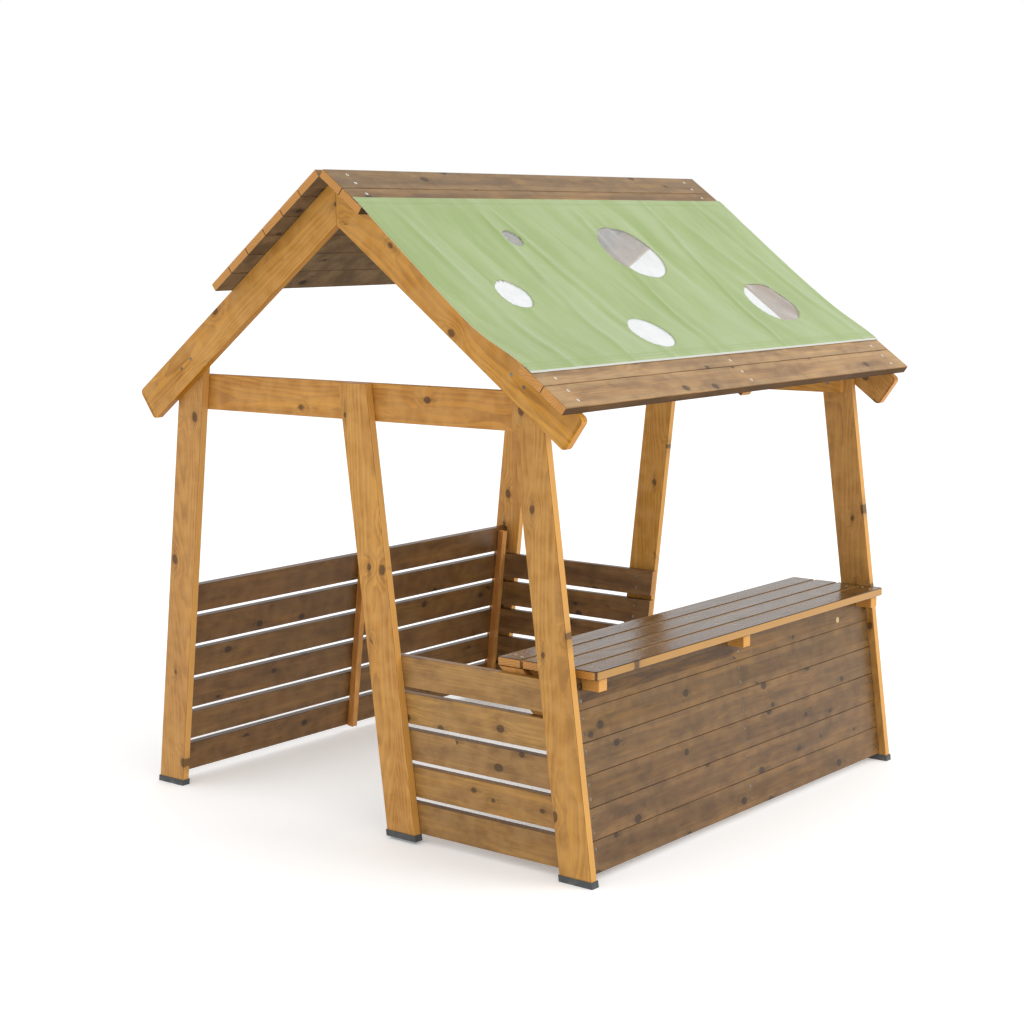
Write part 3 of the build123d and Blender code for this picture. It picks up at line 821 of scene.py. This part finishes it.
def make_film(number, wx, wd, wr):
    """A disc of clear film behind one opening, a little slack."""
    reach = wr + FILM_LAP
    verts, faces = [], []
    rings, spokes = 12, 72
    wave = random.Random(40 + number)
    lean_a, lean_b = wave.uniform(0, 6.3), wave.uniform(0, 6.3)
    for ring in range(rings + 1):
        part = ring / rings
        for spoke in range(spokes):
            turn = 2 * math.pi * spoke / spokes
            x = wx + reach * part * math.cos(turn)
            down = wd + reach * part * math.sin(turn)
            ripple = math.sin(3.1 * part + lean_a + 2 * math.sin(turn + lean_b))
            slack = 0.0006 * ripple * (1 - part ** 2)
            out = lie(x, down) - CLOTH / 2 - 0.0009 - abs(slack)
            if part < 0.9:
                level = BOARD_TOP - dip(x, down) - 0.0006
                out = level + (out - level) * smooth(part, 0.2, 0.9) - abs(slack)
            verts.append(on_slope(x, down, out))
            if ring == 0:
                break
    for spoke in range(spokes):
        faces.append((0, 1 + (spoke + 1) % spokes, 1 + spoke))
    for ring in range(1, rings):
        for spoke in range(spokes):
            a = 1 + (ring - 1) * spokes + spoke
            b = 1 + (ring - 1) * spokes + (spoke + 1) % spokes
            faces.append((a, b, b + spokes, a + spokes))
    made = mesh_object(f"window_film_{number}", verts, faces)
    thick = made.modifiers.new("thickness", "SOLIDIFY")
    thick.thickness = 0.0004
    thick.offset = -1
    apply_modifiers(made)
    made.data.shade_smooth()
    return made


def cloth_material(name):
    """Green coated cloth with a pale back."""
    material, w, shader = finish_material(name)
    place = w.node("TexCoord").outputs["Object"]
    normal = w.node("TexCoord").outputs["Normal"]
    weave = w.place(weave_group, Position=place, Warp=ALONG_X, Weft=FRONT_FALL, Thread=0.0009)
    crease = w.place(crease_group, Position=place, Fall=FRONT_FALL)
    face = w.mix(w.step(weave["Soil"], 0.35, 0.68), rgb(151, 170, 110), rgb(144, 163, 100))
    # Painted highlight on the crease ridges, painted shade in the valleys.
    face = w.mix(w.times(crease["Ridge"], 0.6), face, rgb(162, 177, 130))
    face = w.mix(w.times(crease["Valley"], 0.6), face, rgb(130, 154, 80))
    down = w.plus(w.vector("DOT_PRODUCT", place, FRONT_FALL), UNDER_RIDGE * SIN)
    x = w.split(place)[0]
    ridge, valley = 0.0, 0.0
    for start, slant, width in CREASES:
        press = w.place(crease_shading_group, X=x, Down=down, Start=start, Slant=slant, Width=width)
        ridge = w.calc("MAXIMUM", ridge, press["Ridge"])
        valley = w.calc("MAXIMUM", valley, press["Valley"])
    # Painted shade in the long creases' troughs, painted highlight on their ridges.
    face = w.mix(w.times(valley, 0.6), face, rgb(128, 154, 76))
    face = w.mix(w.times(ridge, 0.6), face, rgb(170, 183, 146))
    # Painted shade along the seams, where the cloth sinks.
    for seam in SEAMS:
        beside = w.calc("ABSOLUTE", w.minus(down, seam))
        face = w.mix(w.times(w.step(beside, 0.0026, 0.0010), 0.5), face, rgb(118, 142, 72))
    # The pale back shows along the turned lower edge.
    face = w.mix(w.step(down, FABRIC_LOW - 0.0062, FABRIC_LOW - 0.0052), face, rgb(200, 201, 196))
    face = w.mix(w.times(w.step(weave["Slub"], 0.4, 0.75), 0.15), face, rgb(158, 176, 118))
    # Painted shade in the gaps between the threads.
    face = w.mix(w.times(w.step(weave["Threads"], 1.6, 0.5), 0.2), face, rgb(118, 136, 80))
    back = w.mix(w.step(weave["Soil"], 0.3, 0.7), rgb(236, 238, 230), rgb(222, 226, 214))
    under = w.step(w.vector("DOT_PRODUCT", normal, (0, -SIN, COS)), 0.1, -0.1)
    w.feed(shader.inputs["Base Color"], w.mix(under, face, back))
    w.feed(shader.inputs["Roughness"], w.plus(0.52, w.times(weave["Slub"], 0.2)))
    shader.inputs["Sheen Weight"].default_value = 0.25
    shader.inputs["Sheen Roughness"].default_value = 0.5
    fine = w.plus(w.times(weave["Threads"], 0.5), w.times(weave["Slub"], 0.4))
    bump(w, shader, w.plus(fine, w.times(crease["Ridge"], 6.0)), 0.4, 0.0003)
    return material


def thread_material():
    material, w, shader = finish_material("sewing_thread")
    place = w.node("TexCoord").outputs["Object"]
    twist = w.noise(w.vector("MULTIPLY", place, (900.0, 2200.0, 2200.0)), 1.0, 2.0)
    w.feed(shader.inputs["Base Color"], w.mix(twist, rgb(150, 176, 114), rgb(206, 222, 176)))
    w.feed(shader.inputs["Roughness"], w.plus(0.45, w.times(twist, 0.25)))
    bump(w, shader, twist, 0.4, 0.0002)
    return material


def film_material():
    """Clear soft film, faintly hazed."""
    material, w, shader = finish_material("clear_film")
    place = w.node("TexCoord").outputs["Object"]
    haze = w.noise(place, 30.0, 3.0)
    scuff = w.noise(w.vector("MULTIPLY", place, (60.0, 400.0, 400.0)), 1.0, 4.0, 0.7)
    w.feed(shader.inputs["Base Color"], w.mix(haze, rgb(246, 248, 248), rgb(226, 230, 230)))
    w.feed(shader.inputs["Roughness"], w.plus(0.02, w.times(w.step(scuff, 0.5, 0.8), 0.08)))
    shader.inputs["Transmission Weight"].default_value = 0.82
    shader.inputs["IOR"].default_value = 1.4
    bump(w, shader, haze, 0.06, 0.0004)
    return material


fabric = make_cloth()
fabric.data.materials.append(cloth_material("green_coated_cloth"))
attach(fabric, "root")
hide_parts("fabric_panel")

stitches = stitch_mesh("fabric_stitches", seam_places())
stitches.data.materials.append(thread_material())
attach(stitches, "root")

film_finish = film_material()
for number, (wx, wd, wr) in enumerate(WINDOWS, 1):
    film = make_film(number, wx, wd, wr)
    film.data.materials.append(film_finish)
    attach(film, "root")
    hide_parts("window_films")

# ---------------------------------------------------------------- floor, light, camera
FLOOR = 60.0                # half the floor's width
corners = [(-FLOOR, -FLOOR, 0), (FLOOR, -FLOOR, 0), (FLOOR, FLOOR, 0), (-FLOOR, FLOOR, 0)]
floor = mesh_object("studio_floor", corners, [(0, 1, 2, 3)], smooth_faces=False)
material, w, shader = finish_material("pale_floor")
spread = w.noise(w.node("TexCoord").outputs["Object"], 2.0, 2.0)
white = w.mix(spread, (0.955, 0.955, 0.955, 1), (0.965, 0.965, 0.965, 1))
w.feed(shader.inputs["Base Color"], white)
shader.inputs["Emission Color"].default_value = (1.0, 1.0, 1.0, 1.0)
shader.inputs["Emission Strength"].default_value = 0.18
shader.inputs["Roughness"].default_value = 0.85
floor.data.materials.append(material)

scene = bpy.context.scene
scene.view_settings.view_transform = "Standard"
scene.view_settings.look = "None"
world = bpy.data.worlds.new("studio")
scene.world = world
world.use_nodes = True
world.node_tree.nodes["Background"].inputs["Color"].default_value = (1.0, 1.0, 1.0, 1.0)
world.node_tree.nodes["Background"].inputs["Strength"].default_value = 1.0


def softbox(name, place, aim, power, size, tint):
    light = bpy.data.lights.new(name, "AREA")
    light.energy = power
    light.shape = "RECTANGLE"
    light.size, light.size_y = size
    light.color = tint
    made = bpy.data.objects.new(name, light)
    made.location = place
    made.rotation_mode = "QUATERNION"
    made.rotation_quaternion = (Vector(aim) - Vector(place)).to_track_quat("-Z", "Y")
    scene.collection.objects.link(made)


softbox("key_softbox", (1.6, -4.6, 3.4), (0, 0, 0.6), 95.0, (3.0, 2.0), (1.0, 0.98, 0.95))

FOCAL_LENGTH = 1955.4 / 1024                # in picture widths
CAMERA_PLACE = Vector((-3.6649, -2.9557, 1.3182))
YAW, TILT, ROLL = math.radians(39.343), math.radians(-8.134), math.radians(-0.548)
ahead = Vector((math.cos(TILT) * math.cos(YAW), math.cos(TILT) * math.sin(YAW), math.sin(TILT)))
right = Vector((math.sin(YAW), -math.cos(YAW), 0))
up = right.cross(ahead)
right, up = (
    math.cos(ROLL) * right + math.sin(ROLL) * up,
    -math.sin(ROLL) * right + math.cos(ROLL) * up,
)
lens = bpy.data.cameras.new("main_camera")
lens.sensor_width = 36.0
lens.lens = FOCAL_LENGTH * 36.0
camera = bpy.data.objects.new("main_camera", lens)
turned = Matrix((right, up, -ahead)).transposed().to_4x4()
camera.matrix_world = Matrix.Translation(CAMERA_PLACE) @ turned
lens.clip_start, lens.clip_end = 0.05, 200.0
scene.collection.objects.link(camera)
scene.camera = camera
